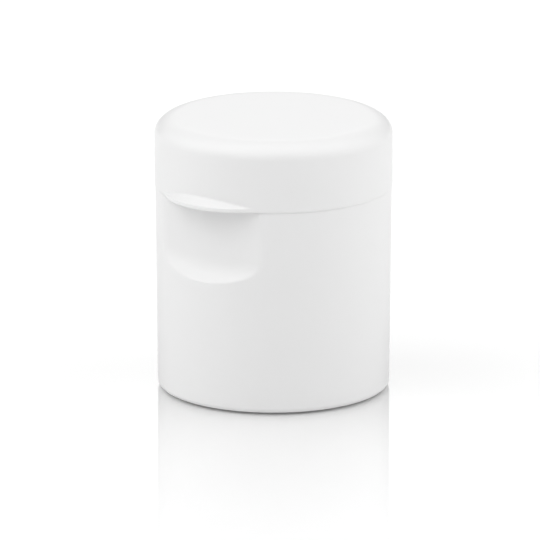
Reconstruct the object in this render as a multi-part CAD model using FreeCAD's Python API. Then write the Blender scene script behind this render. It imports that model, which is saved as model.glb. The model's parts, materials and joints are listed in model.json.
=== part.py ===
"""Screw-down pill crusher with a flip-lid pill store.

The object stands on its base. A round outer shell holds a threaded crushing barrel with a ridged
steel anvil at its bottom. A hollow plunger screws into the barrel and drives a ridged steel foot
down on the pill. The foot is keyed to the barrel, so it presses without turning, and swivels on a
shoulder screw under the plunger. The plunger's hollow is the pill store: a cup with a divider,
closed by a lid that is hinged to the plunger's collar and opened by a thumb lip.

Frame: millimetres, +Z up, origin at the centre of the face the object rests on, thumb lip towards
-Y, hinge towards +Y. The plunger is drawn fully down and the lid closed.
"""

import FreeCAD
import Part
import math
import os

# ---------------------------------------------------------------- driving dimensions
LID_R = 24.0  # outer radius of the lid
HEIGHT = 56.0  # floor to the top of the lid
SEAM_Z = 42.0  # top of the body
SEAM_GAP = 0.1  # gap between body and lid
WALL = 1.9  # thickness of the outer shell
THREAD_LEAD = 4.0  # plunger travel in one turn
TRAVEL = 12.0  # plunger travel from fully down until its thread lets go

FIT = 0.02  # gap between pieces that are assembled tight
PLAY = 0.1  # gap between pieces that are assembled loose
RUN = 0.3  # gap between pieces that run in each other
EDGE_R = 0.3  # rounding of small edges
WIDE_EDGE_R = 0.5  # rounding of larger edges
SINK = 0.3  # how far features are sunk into each other before they are fused
BEYOND = 1.0  # how far a cutting solid reaches past what it cuts
RECESS_REACH = 0.6  # arm of a screw's driver recess, as a share of the head's radius

TOP = FreeCAD.Vector(0, 0, 1)
CENTRE = FreeCAD.Vector(0, 0, 0)


# ---------------------------------------------------------------- shape helpers
def point(x, y, z):
    return FreeCAD.Vector(x, y, z)


def cylinder(radius, z0, z1, x=0.0, y=0.0):
    return Part.makeCylinder(radius, z1 - z0, point(x, y, z0))


def tube(outer, inner, z0, z1):
    return cylinder(outer, z0, z1).cut(cylinder(inner, z0 - BEYOND, z1 + BEYOND))


def x_cylinder(radius, x0, x1, y, z):
    return Part.makeCylinder(radius, x1 - x0, point(x0, y, z), point(1, 0, 0))


def block(x0, x1, y0, y1, z0, z1):
    return Part.makeBox(x1 - x0, y1 - y0, z1 - z0, point(x0, y0, z0))


def cross_recess(head_r, half, z0, z1):
    """Space of a cross-shaped driver recess in a screw head on the Z axis."""
    arm = RECESS_REACH * head_r
    return block(-arm, arm, -half, half, z0, z1).fuse(block(-half, half, -arm, arm, z0, z1))


def polyline(*points):
    """Straight edges through (radius, z) points."""
    vectors = [point(r, 0, z) for r, z in points]
    return [Part.LineSegment(a, b).toShape() for a, b in zip(vectors, vectors[1:])]


def corner_arc(centre_r, centre_z, radius, start, end):
    """Arc in the radius-z plane, angles in degrees from the outward radius."""

    def at(angle):
        a = math.radians(angle)
        return point(centre_r + radius * math.cos(a), 0, centre_z + radius * math.sin(a))

    return Part.Arc(at(start), at((start + end) / 2), at(end)).toShape()


def revolve(outline):
    """Turns a closed outline of edges in the radius-z plane about the Z axis."""
    face = Part.Face(Part.Wire(outline))
    return face.revolve(CENTRE, TOP, 360)


def around(shape, count, first=0.0):
    """count copies of a shape, evenly spaced about the Z axis."""
    copies = []
    for i in range(count):
        turned = shape.copy()
        turned.rotate(CENTRE, TOP, first + 360.0 * i / count)
        copies.append(turned)
    return copies


def cut_all(shape, tools):
    for tool in tools:
        shape = shape.cut(tool)
    return shape


def fuse_all(shape, additions):
    for addition in additions:
        shape = shape.fuse(addition)
    return shape


def solid_of(shape):
    """The one clean solid that a boolean result holds."""
    solids = shape.removeSplitter().Solids
    assert len(solids) == 1, f"expected one solid, found {len(solids)}"
    return solids[0]


def rims(shape, radius, z, tolerance=0.02):
    """The full circles about the Z axis that have this radius and height."""
    found = []
    for edge in shape.Edges:
        box = edge.BoundBox
        level = box.ZLength < tolerance and abs(box.ZMin - z) < tolerance
        if level and abs(box.XMax - radius) < tolerance and abs(box.XMin + radius) < tolerance:
            found.append(edge)
    return found


# ---------------------------------------------------------------- outer shell
FOOT_PROUD = 0.3  # the soft ring stands this far below the shell
BODY_TOP_R = LID_R - 0.15
BODY_FOOT_R = LID_R - 0.55
BODY_EDGE_R = 1.1  # rounding of the lower outer edge
RIM_EDGE_R = 0.3  # rounding of the edges at the seam

SCOOP_DEPTH = 2.8
SCOOP_FLOOR_R = 99.0  # plan radius of the scoop's nearly flat floor
SCOOP_BOTTOM_Z = 26.5
SCOOP_RAMP = math.radians(42.0)  # how far the ramp at its bottom faces up
SCOOP_BLEND_R = 5.0  # blend between floor and ramp
SCOOP_SWEEP = 30.0  # degrees of the floor's plan arc that the cutting solid covers
SCOOP_REACH = LID_R + 6.0  # how far the cutting solid reaches out

BARREL_R = 18.7
BARREL_SEAT_R = BARREL_R + 0.15
BARREL_TOP_Z = SEAM_Z - 1.05
DECK_T = 3.0  # thickness of the ring that closes the shell's top
DECK_BORE_R = 17.2

SNAP_GROOVE_R = BODY_FOOT_R - WALL + 0.35
SNAP_GROOVE_Z = (1.1, 2.1)


def scoop_space(grow=0.0):
    """The thumb scoop's space, or with grow the space plus that much wall behind it."""
    floor = BODY_TOP_R - SCOOP_DEPTH - grow
    blend = SCOOP_BLEND_R + grow
    exit_r = BODY_FOOT_R + (BODY_TOP_R - BODY_FOOT_R) * SCOOP_BOTTOM_Z / SEAM_Z
    ramp_r = floor + blend * (1 - math.cos(SCOOP_RAMP))
    # the ramp leaves the shell's surface at SCOOP_BOTTOM_Z and is moved square to itself by grow
    ramp_z = SCOOP_BOTTOM_Z + (exit_r - ramp_r) / math.tan(SCOOP_RAMP) - grow / math.sin(SCOOP_RAMP)
    blend_z = ramp_z + blend * math.sin(SCOOP_RAMP)
    far_z = ramp_z - (SCOOP_REACH - ramp_r) / math.tan(SCOOP_RAMP)
    top_z = SEAM_Z + BEYOND
    edges = polyline((SCOOP_REACH, far_z), (SCOOP_REACH, top_z), (floor, top_z), (floor, blend_z))
    edges.append(corner_arc(floor + blend, blend_z, blend, 180, 180 + math.degrees(SCOOP_RAMP)))
    edges += polyline((ramp_r, ramp_z), (SCOOP_REACH, far_z))
    face = Part.Face(Part.Wire(edges))
    plan_centre = point(floor - SCOOP_FLOOR_R + grow, 0, 0)
    face.rotate(plan_centre, TOP, -SCOOP_SWEEP / 2)
    space = face.revolve(plan_centre, TOP, SCOOP_SWEEP)
    space.rotate(CENTRE, TOP, -90)
    return space


def body_shell():
    """Drafted outer shell: thumb scoop, deck around the barrel's mouth, open bottom."""
    z0 = FOOT_PROUD
    outer = revolve(polyline((0, z0), (BODY_FOOT_R, z0), (BODY_TOP_R, SEAM_Z), (0, SEAM_Z), (0, z0)))
    outer = outer.makeFillet(BODY_EDGE_R, rims(outer, BODY_FOOT_R, z0))
    outer = outer.makeFillet(RIM_EDGE_R, rims(outer, BODY_TOP_R, SEAM_Z))
    deck_z = SEAM_Z - DECK_T
    below = z0 - BEYOND
    foot_r = BODY_FOOT_R - WALL
    top_r = BODY_TOP_R - WALL
    hollow = revolve(polyline((0, below), (foot_r, below), (top_r, deck_z), (0, deck_z), (0, below)))
    shell = outer.cut(scoop_space()).cut(hollow.cut(scoop_space(WALL)))
    barrel_seat = cylinder(BARREL_SEAT_R, deck_z - BEYOND, BARREL_TOP_Z + FIT)
    mouth = cylinder(DECK_BORE_R, deck_z - BEYOND, SEAM_Z + BEYOND)
    groove = tube(SNAP_GROOVE_R, foot_r - BEYOND, *SNAP_GROOVE_Z)
    return solid_of(cut_all(shell, (barrel_seat, mouth, groove)))


# ---------------------------------------------------------------- base
COVER_R = BODY_FOOT_R - WALL - PLAY
COVER_Z0 = FOOT_PROUD + 0.05
COVER_Z1 = 2.5
COVER_WELL_R = 5.0  # room for the nut in the cover's upper side
SNAP_BEAD_R = SNAP_GROOVE_R - PLAY
SNAP_BEAD_Z = (1.2, 2.0)
FOOT_RING_R = (17.4, 20.2)
FOOT_RING_TOP_Z = 1.2

BASE_SCREWS = 3
BASE_SCREW_TURN = 30.0  # degrees from +X to the first screw
BASE_SCREW_CIRCLE_R = 12.5
BASE_SCREW_HEAD_R = 2.2
BASE_SCREW_HEAD_T = 0.85
BASE_SCREW_R = 1.1
BASE_SCREW_LENGTH = 3.6  # below its head
BASE_SCREW_RECESS = (0.3, 0.5)  # half width and depth of its driver recess
BASE_POCKET_R = 2.5
BASE_POCKET_Z = COVER_Z0 + 0.9

NUT_ACROSS_FLATS = 7.0
NUT_POCKET_Z = COVER_Z0 + 1.0


def base_screw_bore(radius, z0, z1):
    """That bore at each base screw."""
    return around(cylinder(radius, z0, z1, x=BASE_SCREW_CIRCLE_R), BASE_SCREWS, BASE_SCREW_TURN)


def base_cover():
    """Disc snapped into the shell's open bottom, with a groove for the soft ring."""
    cover = cylinder(COVER_R, COVER_Z0, COVER_Z1)
    cover = cover.fuse(tube(SNAP_BEAD_R, COVER_R - SINK, *SNAP_BEAD_Z))
    inner, outer = FOOT_RING_R
    cover = cover.cut(tube(outer, inner, COVER_Z0 - BEYOND, FOOT_RING_TOP_Z))
    cover = cover.cut(cylinder(COVER_WELL_R, NUT_POCKET_Z, COVER_Z1 + BEYOND))
    cover = cut_all(cover, base_screw_bore(BASE_SCREW_R + PLAY, COVER_Z0 - BEYOND, COVER_Z1 + BEYOND))
    cover = cut_all(cover, base_screw_bore(BASE_POCKET_R, COVER_Z0 - BEYOND, BASE_POCKET_Z))
    return solid_of(cover)


def foot_ring():
    """Soft ring that the object stands on, its lower edges rounded."""
    inner = FOOT_RING_R[0] + FIT
    outer = FOOT_RING_R[1] - FIT
    ring = tube(outer, inner, 0.0, FOOT_RING_TOP_Z - FIT)
    return solid_of(ring.makeFillet(EDGE_R, rims(ring, outer, 0.0) + rims(ring, inner, 0.0)))


def base_screws():
    """Pan-head screws from below, through the base cover into the barrel's floor."""
    seat_z = BASE_POCKET_Z - FIT
    head_z = seat_z - BASE_SCREW_HEAD_T
    screw = cylinder(BASE_SCREW_HEAD_R, head_z, seat_z)
    screw = screw.makeFillet(EDGE_R, rims(screw, BASE_SCREW_HEAD_R, head_z))
    screw = screw.fuse(cylinder(BASE_SCREW_R - FIT, seat_z - SINK, seat_z + BASE_SCREW_LENGTH))
    half, depth = BASE_SCREW_RECESS
    screw = screw.cut(cross_recess(BASE_SCREW_HEAD_R, half, head_z - BEYOND, head_z + depth))
    screw = solid_of(screw)
    screw.translate(point(BASE_SCREW_CIRCLE_R, 0, 0))
    return Part.makeCompound(around(screw, BASE_SCREWS, BASE_SCREW_TURN))


# ---------------------------------------------------------------- thread form
PLUNGER_R = 14.8  # root of the outer thread
THREAD_CREST_R = 16.0
THREAD_ROOT_W = 1.9
THREAD_CREST_W = 0.9
FLANK_PLAY = 0.2  # measured along the axis, on each side of the plunger's ridge
PLUNGER_THREAD_Z = (26.0, 38.0)  # centre of the ridge, plunger fully down

CHAMBER_R = PLUNGER_R + RUN  # also the crest of the barrel's thread
THREAD_BORE_R = THREAD_CREST_R + RUN
BARREL_THREAD_Z = (30.0, PLUNGER_THREAD_Z[0] + TRAVEL + 1.0)  # a quarter turn still holds at the top
THREAD_BORE_Z0 = PLUNGER_THREAD_Z[0] - THREAD_ROOT_W / 2 - 0.35


def thread_ridge(root_r, crest_r, root_w, crest_w, z_range, phase_z):
    """Helical ridge of trapezium section, sunk into the wall it grows from.

    Its centre line passes through phase_z above the +X axis and spans z_range.
    """
    flank = (root_w - crest_w) / 2 / abs(crest_r - root_r)
    sunk_r = root_r - math.copysign(SINK, crest_r - root_r)
    sunk_w = root_w + 2 * flank * SINK
    corners = (
        point(sunk_r, 0, -sunk_w / 2),
        point(crest_r, 0, -crest_w / 2),
        point(crest_r, 0, crest_w / 2),
        point(sunk_r, 0, sunk_w / 2),
    )
    z0, z1 = z_range
    sweep = Part.BRepOffsetAPI.MakePipeShell(Part.makeHelix(THREAD_LEAD, z1 - z0, root_r))
    sweep.setBiNormalMode(TOP)
    sweep.add(Part.makePolygon(corners + corners[:1]))
    sweep.build()
    sweep.makeSolid()
    ridge = sweep.shape()
    ridge.rotate(CENTRE, TOP, 360.0 * (z0 - phase_z) / THREAD_LEAD)
    ridge.translate(point(0, 0, z0))
    return ridge


# ---------------------------------------------------------------- crushing barrel and anvil
BARREL_Z0 = COVER_Z1 + PLAY
BARREL_EDGE_R = 0.6
CHAMBER_FLOOR_Z = 5.6
KEYWAY_R = 16.6
KEYWAY_W = 3.2

DECK_SEAL_Z = SEAM_Z - 2.15
DECK_SEAL_R = 0.6
DECK_SEAL_GROOVE_HALF = DECK_SEAL_R + 0.05
DECK_SEAL_SEAT_R = BARREL_SEAT_R - 2 * DECK_SEAL_R

ANVIL_R = CHAMBER_R - 0.15
ANVIL_Z = CHAMBER_FLOOR_Z + FIT
ANVIL_T = 1.5
ANVIL_HUB_R = 3.2
RIDGE_H = 0.7
RIDGES = 12
RIDGE_ROOT_HALF = 0.95  # half width of a ridge's root, as a share of its height
RIDGE_TIP_HALF = 0.12
RIDGE_MARGIN = 1.2  # from a ridge's ends to the hub and to the plate's edge
ANVIL_HUB_H = 0.56
STUD_R = 2.0
STUD_Z0 = NUT_POCKET_Z + 0.2
NUT_SEAT_R = 4.5  # room for the nut in the barrel's underside
NUT_SEAT_Z = BARREL_Z0 + 0.6
NUT_Z0 = NUT_POCKET_Z + 0.05
NUT_CHAMFER = 0.35


def crush_barrel():
    """Cup with a smooth crushing chamber, a thread near its mouth and two keyways."""
    barrel = cylinder(BARREL_R, BARREL_Z0, BARREL_TOP_Z)
    barrel = barrel.makeFillet(BARREL_EDGE_R, rims(barrel, BARREL_R, BARREL_Z0))
    above = BARREL_TOP_Z + BEYOND
    barrel = barrel.cut(cylinder(CHAMBER_R, CHAMBER_FLOOR_Z, above))
    barrel = barrel.cut(cylinder(THREAD_BORE_R, THREAD_BORE_Z0, above))
    half = DECK_SEAL_GROOVE_HALF
    seal_groove = tube(BARREL_R + BEYOND, DECK_SEAL_SEAT_R, DECK_SEAL_Z - half, DECK_SEAL_Z + half)
    barrel = barrel.cut(seal_groove)
    # this ridge fills the gap between two turns of the plunger's ridge, less the play
    ridge = thread_ridge(
        THREAD_BORE_R,
        CHAMBER_R,
        THREAD_LEAD - THREAD_CREST_W - 2 * FLANK_PLAY,
        THREAD_LEAD - THREAD_ROOT_W - 2 * FLANK_PLAY,
        BARREL_THREAD_Z,
        PLUNGER_THREAD_Z[0] + THREAD_LEAD / 2,
    )
    barrel = barrel.fuse(ridge)
    keyway = block(0, KEYWAY_R, -KEYWAY_W / 2, KEYWAY_W / 2, CHAMBER_FLOOR_Z, above)
    barrel = cut_all(barrel, around(keyway, 2))
    barrel = barrel.cut(cylinder(STUD_R + PLAY, BARREL_Z0 - BEYOND, CHAMBER_FLOOR_Z + BEYOND))
    barrel = barrel.cut(cylinder(NUT_SEAT_R, BARREL_Z0 - BEYOND, NUT_SEAT_Z))
    screw_end_z = BASE_POCKET_Z + BASE_SCREW_LENGTH + RUN
    barrel = cut_all(barrel, base_screw_bore(BASE_SCREW_R, BARREL_Z0 - BEYOND, screw_end_z))
    return solid_of(barrel)


def deck_seal():
    """O-ring between the barrel and the shell's deck."""
    return Part.makeTorus(DECK_SEAL_SEAT_R + DECK_SEAL_R, DECK_SEAL_R - FIT, point(0, 0, DECK_SEAL_Z))


def radial_ridges(inner_r, outer_r, root_z, tip_z, first):
    """Radial ridges of triangular section, evenly spaced, with slightly blunt tips."""
    root_half = abs(tip_z - root_z) * RIDGE_ROOT_HALF
    corners = (
        point(inner_r, -root_half, root_z),
        point(inner_r, root_half, root_z),
        point(inner_r, RIDGE_TIP_HALF, tip_z),
        point(inner_r, -RIDGE_TIP_HALF, tip_z),
    )
    ridge = Part.Face(Part.makePolygon(corners + corners[:1])).extrude(point(outer_r - inner_r, 0, 0))
    return around(ridge, RIDGES, first)


def anvil_plate():
    """Steel plate on the chamber's floor: radial ridges above, a threaded stud below."""
    top = ANVIL_Z + ANVIL_T
    plate = cylinder(ANVIL_R, ANVIL_Z, top)
    plate = plate.makeFillet(EDGE_R, rims(plate, ANVIL_R, top))
    sunk = top - PLAY
    ridges = radial_ridges(ANVIL_HUB_R + RIDGE_MARGIN, ANVIL_R - RIDGE_MARGIN, sunk, top + RIDGE_H, 0)
    plate = fuse_all(plate, ridges).fuse(cylinder(ANVIL_HUB_R, sunk, top + ANVIL_HUB_H))
    plate = plate.fuse(cylinder(STUD_R, STUD_Z0, ANVIL_Z + SINK))
    return solid_of(plate)


def anvil_nut():
    """Hexagon nut that holds the anvil from below, chamfered on its outer side."""
    z1 = NUT_SEAT_Z - FIT
    corner = NUT_ACROSS_FLATS / math.sqrt(3)
    angles = [math.radians(60 * i) for i in range(7)]
    corners = [point(corner * math.cos(a), corner * math.sin(a), NUT_Z0) for a in angles]
    nut = Part.Face(Part.makePolygon(corners)).extrude(point(0, 0, z1 - NUT_Z0))
    cone_h = (NUT_CHAMFER + BEYOND) * math.tan(math.radians(30))
    cone = Part.makeCone(corner - NUT_CHAMFER, corner + BEYOND, cone_h, point(0, 0, NUT_Z0))
    above_cone = cylinder(corner + BEYOND, NUT_Z0 + cone_h, z1 + BEYOND)
    nut = nut.common(cone.fuse(above_cone))
    return solid_of(nut.cut(cylinder(STUD_R + FIT, NUT_Z0 - BEYOND, z1 + BEYOND)))


# ---------------------------------------------------------------- foot
CRUSH_GAP = 0.4  # between the tips of the two sets of ridges, fully down
FOOT_TIP_Z = ANVIL_Z + ANVIL_T + RIDGE_H + CRUSH_GAP
FOOT_Z0 = FOOT_TIP_Z + RIDGE_H
FOOT_T = 2.4
FOOT_Z1 = FOOT_Z0 + FOOT_T
FOOT_R = PLUNGER_R
KEY_R = KEYWAY_R - RUN
KEY_W = KEYWAY_W - 2 * 0.2
KEY_ROOT = 1.5  # how far the keys reach into the disc
FOOT_RIDGE_R = (5.2, FOOT_R - 1.0)
BUSH_R = 3.4
SHOULDER_R = 2.5
BUSH_BORE_R = SHOULDER_R + PLAY
FOOT_SCREW_HEAD_R = 3.4
FOOT_SCREW_HEAD_T = 1.3
FOOT_SCREW_SLOT = (0.45, 0.7)  # half width and depth
FOOT_SCREW_HEAD_Z1 = FOOT_Z0 + 0.95
FOOT_POCKET_Z = FOOT_SCREW_HEAD_Z1 + 0.05
FOOT_SCREW_R = 2.0
FOOT_SCREW_GRIP = 3.4  # length of its thread in the plunger's end

WASHER_R = 9.0
WASHER_Z0 = FOOT_Z1 + 0.05
WASHER_Z1 = WASHER_Z0 + 0.95
PLUNGER_Z0 = WASHER_Z1 + 0.05


def pestle_foot():
    """Steel disc with radial ridges below and two keys that run in the barrel's keyways."""
    disc = cylinder(FOOT_R, FOOT_Z0, FOOT_Z1)
    disc = disc.makeFillet(WIDE_EDGE_R, rims(disc, FOOT_R, FOOT_Z1))
    key = block(FOOT_R - KEY_ROOT, KEY_R, -KEY_W / 2, KEY_W / 2, FOOT_Z0, FOOT_Z1 - WIDE_EDGE_R)
    disc = fuse_all(disc, around(key, 2))
    half_step = 180.0 / RIDGES
    disc = fuse_all(disc, radial_ridges(*FOOT_RIDGE_R, FOOT_Z0 + PLAY, FOOT_TIP_Z, half_step))
    disc = disc.cut(cylinder(BUSH_R, FOOT_Z0 - BEYOND, FOOT_Z1 + BEYOND))
    disc = disc.cut(cylinder(FOOT_SCREW_HEAD_R + RUN, FOOT_TIP_Z - BEYOND, FOOT_POCKET_Z))
    return solid_of(disc)


def foot_bush():
    """Plastic bush pressed into the foot, running on the shoulder of the foot screw."""
    return solid_of(tube(BUSH_R - FIT, BUSH_BORE_R, FOOT_POCKET_Z, FOOT_Z1))


def foot_screw():
    """Slotted shoulder screw that carries the foot and turns with the plunger."""
    head_z0 = FOOT_SCREW_HEAD_Z1 - FOOT_SCREW_HEAD_T
    head = cylinder(FOOT_SCREW_HEAD_R, head_z0, FOOT_SCREW_HEAD_Z1)
    head = head.makeFillet(EDGE_R, rims(head, FOOT_SCREW_HEAD_R, head_z0))
    half, depth = FOOT_SCREW_SLOT
    head = head.cut(block(-LID_R, LID_R, -half, half, head_z0 - BEYOND, head_z0 + depth))
    shoulder = cylinder(SHOULDER_R, FOOT_SCREW_HEAD_Z1 - SINK, PLUNGER_Z0 - FIT)
    thread = cylinder(FOOT_SCREW_R, PLUNGER_Z0 - SINK, PLUNGER_Z0 + FOOT_SCREW_GRIP)
    return solid_of(head.fuse(shoulder).fuse(thread))


def thrust_washer():
    """Low-friction washer between the foot and the plunger's end."""
    return solid_of(tube(WASHER_R, SHOULDER_R + PLAY, WASHER_Z0, WASHER_Z1))


# ---------------------------------------------------------------- plunger
COLLAR_Z0 = SEAM_Z + PLAY
COLLAR_T = 2.0
COLLAR_Z1 = COLLAR_Z0 + COLLAR_T
FLANGE_R = 19.4
FLANGE_T = 1.6
FLANGE_Z0 = COLLAR_Z1 + FIT
PLUNGER_TOP_Z = FLANGE_Z0 + FLANGE_T
STORE_R = 12.8  # bore of the plunger above its solid end
PLUNGER_END_T = 4.6  # its solid end
STORE_Z0 = PLUNGER_Z0 + PLUNGER_END_T
CUP_SEAT_R = 14.7  # rebate in the plunger's mouth for the cup's rim
CUP_SEAT_Z = PLUNGER_TOP_Z - 0.7

WIPER_Z = PLUNGER_Z0 + 2.3
WIPER_R = 1.0
WIPER_SEAT_R = CHAMBER_R - 0.06 - 2 * WIPER_R

COLLAR_SCREWS = 4
COLLAR_SCREW_TURN = 45.0  # degrees from +X to the first screw
COLLAR_SCREW_CIRCLE_R = 17.6
COLLAR_SCREW_HEAD_R = 1.35
COLLAR_SCREW_R = 0.6
COLLAR_SCREW_LENGTH = 2.9
COLLAR_SCREW_SUNK = 0.05  # depth of its head below the flange's top
COLLAR_SCREW_EDGE = 0.15  # height of the head's straight edge
COLLAR_SCREW_RECESS = (0.18, 0.6)  # half width and depth of its driver recess


def collar_screw_outline(grow, z_top, z_end):
    """Outline of a countersunk screw, or with grow of the hole that it sits in."""
    head_r = COLLAR_SCREW_HEAD_R + grow
    shank_r = COLLAR_SCREW_R + grow
    edge_z = PLUNGER_TOP_Z - COLLAR_SCREW_SUNK - COLLAR_SCREW_EDGE
    neck_z = edge_z - (head_r - shank_r)
    return polyline(
        (0, z_top), (head_r, z_top), (head_r, edge_z), (shank_r, neck_z), (shank_r, z_end), (0, z_end), (0, z_top)
    )


def plunger_screw():
    """Hollow plunger: solid end, outer thread, and a flange around the pill store's mouth."""
    plunger = cylinder(PLUNGER_R, PLUNGER_Z0, PLUNGER_TOP_Z)
    plunger = plunger.makeFillet(WIDE_EDGE_R, rims(plunger, PLUNGER_R, PLUNGER_Z0))
    flange = cylinder(FLANGE_R, FLANGE_Z0, PLUNGER_TOP_Z)
    flange = flange.makeFillet(EDGE_R, rims(flange, FLANGE_R, PLUNGER_TOP_Z))
    ridge = thread_ridge(
        PLUNGER_R, THREAD_CREST_R, THREAD_ROOT_W, THREAD_CREST_W, PLUNGER_THREAD_Z, PLUNGER_THREAD_Z[0]
    )
    plunger = plunger.fuse(flange).fuse(ridge)
    above = PLUNGER_TOP_Z + BEYOND
    plunger = plunger.cut(cylinder(STORE_R, STORE_Z0, above))
    plunger = plunger.cut(cylinder(CUP_SEAT_R, CUP_SEAT_Z, above))
    wiper_half = WIPER_R + PLAY
    plunger = plunger.cut(tube(PLUNGER_R + BEYOND, WIPER_SEAT_R, WIPER_Z - wiper_half, WIPER_Z + wiper_half))
    screw_end_z = PLUNGER_Z0 + FOOT_SCREW_GRIP + RUN
    plunger = plunger.cut(cylinder(FOOT_SCREW_R + FIT, PLUNGER_Z0 - BEYOND, screw_end_z))
    hole = revolve(collar_screw_outline(FIT, above, FLANGE_Z0 - BEYOND))
    hole.translate(point(COLLAR_SCREW_CIRCLE_R, 0, 0))
    return solid_of(cut_all(plunger, around(hole, COLLAR_SCREWS, COLLAR_SCREW_TURN)))


def wiper_ring():
    """O-ring that keeps powder out of the thread."""
    return Part.makeTorus(WIPER_SEAT_R + WIPER_R, WIPER_R - FIT, point(0, 0, WIPER_Z))


# ---------------------------------------------------------------- collar and hinge
LIP_TIP_Y = -(LID_R + 2.1)
LID_Z0 = SEAM_Z + SEAM_GAP
COLLAR_R = 21.4
COLLAR_BORE_R = THREAD_CREST_R + 0.2  # the plunger's thread passes through it
HINGE_R = 1.5
HINGE_Y = -LIP_TIP_Y - HINGE_R  # the knuckles stand out as far behind as the lip does in front
HINGE_Z = LID_Z0 + HINGE_R + PLAY
HINGE_HALF_W = 8.0
KNUCKLE_HALF_W = 4.0  # half width of the collar's knuckle
ARM_Y0 = FLANGE_R + 0.6  # the knuckle's arm starts outside the flange
ARM_TOP_Z = HINGE_Z + 0.2
PIN_R = 0.75
PIN_CHAMFER = 0.15
PIN_PLAY = 0.05  # between the pin and the lid's knuckles
CATCH_R = COLLAR_R + 0.45
CATCH_Z = (LID_Z0 + 0.6, LID_Z0 + 1.2)
CATCH_HALF_W = 5.0


def hinge_collar():
    """Ring under the plunger's flange, with the hinge's middle knuckle and the lid's catch."""
    collar = tube(COLLAR_R, COLLAR_BORE_R, COLLAR_Z0, COLLAR_Z1)
    collar = collar.makeFillet(EDGE_R, rims(collar, COLLAR_R, COLLAR_Z1))
    arm = block(-KNUCKLE_HALF_W, KNUCKLE_HALF_W, ARM_Y0, HINGE_Y, LID_Z0 + PLAY, ARM_TOP_Z)
    knuckle = x_cylinder(HINGE_R, -KNUCKLE_HALF_W, KNUCKLE_HALF_W, HINGE_Y, HINGE_Z)
    front = block(-CATCH_HALF_W, CATCH_HALF_W, -LID_R, 0, 0, HEIGHT)
    catch = tube(CATCH_R, COLLAR_R - SINK, *CATCH_Z).common(front)
    collar = collar.fuse(arm).fuse(knuckle).fuse(catch)
    collar = collar.cut(x_cylinder(PIN_R + FIT, -HINGE_HALF_W, HINGE_HALF_W, HINGE_Y, HINGE_Z))
    screw_end_z = PLUNGER_TOP_Z - COLLAR_SCREW_LENGTH - PLAY
    hole = cylinder(COLLAR_SCREW_R, screw_end_z, COLLAR_Z1 + BEYOND, x=COLLAR_SCREW_CIRCLE_R)
    return solid_of(cut_all(collar, around(hole, COLLAR_SCREWS, COLLAR_SCREW_TURN)))


def collar_screws():
    """Countersunk screws that tie the plunger's flange to the collar."""
    z_top = PLUNGER_TOP_Z - COLLAR_SCREW_SUNK
    screw = revolve(collar_screw_outline(-FIT, z_top, PLUNGER_TOP_Z - COLLAR_SCREW_LENGTH))
    half, depth = COLLAR_SCREW_RECESS
    screw = solid_of(screw.cut(cross_recess(COLLAR_SCREW_HEAD_R, half, z_top - depth, z_top + BEYOND)))
    screw.translate(point(COLLAR_SCREW_CIRCLE_R, 0, 0))
    return Part.makeCompound(around(screw, COLLAR_SCREWS, COLLAR_SCREW_TURN))


def hinge_pin():
    """Steel pin pressed through the collar's knuckle."""
    half_length = HINGE_HALF_W - PLAY
    pin = x_cylinder(PIN_R, -half_length, half_length, HINGE_Y, HINGE_Z)
    ends = [edge for edge in pin.Edges if edge.BoundBox.XLength < FIT]
    return solid_of(pin.makeChamfer(PIN_CHAMFER, ends))


# ---------------------------------------------------------------- pill store
CUP_R = STORE_R - PLAY
CUP_WALL = 1.0
CUP_INNER_R = CUP_R - CUP_WALL
CUP_Z0 = STORE_Z0 + PLAY
CUP_FLOOR_Z = CUP_Z0 + CUP_WALL
CUP_RIM_R = CUP_SEAT_R - PLAY
CUP_RIM_Z = CUP_SEAT_Z + FIT
CUP_TOP_Z = CUP_SEAT_Z + 1.3
CUP_CORNER_R = 1.2  # rounding inside, where the wall meets the floor
CUP_OUTER_CORNER_R = 1.6
DIVIDER_PLAY = 0.06  # between the divider's ends and the cup
DIVIDER_T = 1.2
DIVIDER_TOP_Z = PLUNGER_TOP_Z - 3.0
DIVIDER_DIP_R = 9.0
DIVIDER_DIP_D = 3.0


def store_cup():
    """Smooth cup that lines the plunger's hollow, hung from its rim."""
    cup = cylinder(CUP_R, CUP_Z0, CUP_TOP_Z)
    cup = cup.makeFillet(CUP_OUTER_CORNER_R, rims(cup, CUP_R, CUP_Z0))
    cup = cup.fuse(cylinder(CUP_RIM_R, CUP_RIM_Z, CUP_TOP_Z))
    space = cylinder(CUP_INNER_R, CUP_FLOOR_Z, CUP_TOP_Z + BEYOND)
    space = space.makeFillet(CUP_CORNER_R, rims(space, CUP_INNER_R, CUP_FLOOR_Z))
    cup = cup.cut(space)
    cup = cup.makeFillet(EDGE_R, rims(cup, CUP_RIM_R, CUP_TOP_Z) + rims(cup, CUP_INNER_R, CUP_TOP_Z))
    return solid_of(cup)


def store_divider():
    """Upright wall that splits the cup in two, with a dip in its top edge for a fingertip."""
    half = CUP_INNER_R - DIVIDER_PLAY
    z0 = CUP_FLOOR_Z + FIT
    wall = block(-half, half, -DIVIDER_T / 2, DIVIDER_T / 2, z0, DIVIDER_TOP_Z)
    boxes = [(edge, edge.BoundBox) for edge in wall.Edges]
    lower_ends = [edge for edge, box in boxes if box.YLength > DIVIDER_T / 2 and box.ZMax < z0 + FIT]
    wall = wall.makeFillet(CUP_OUTER_CORNER_R, [edge for edge in lower_ends if edge.BoundBox.XLength < FIT])
    dip_start = point(0, -DIVIDER_T, DIVIDER_TOP_Z + DIVIDER_DIP_R - DIVIDER_DIP_D)
    dip = Part.makeCylinder(DIVIDER_DIP_R, 2 * DIVIDER_T, dip_start, point(0, 1, 0))
    guide = cylinder(half, z0 - BEYOND, DIVIDER_TOP_Z + BEYOND)
    return solid_of(wall.cut(dip).common(guide))


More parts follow.
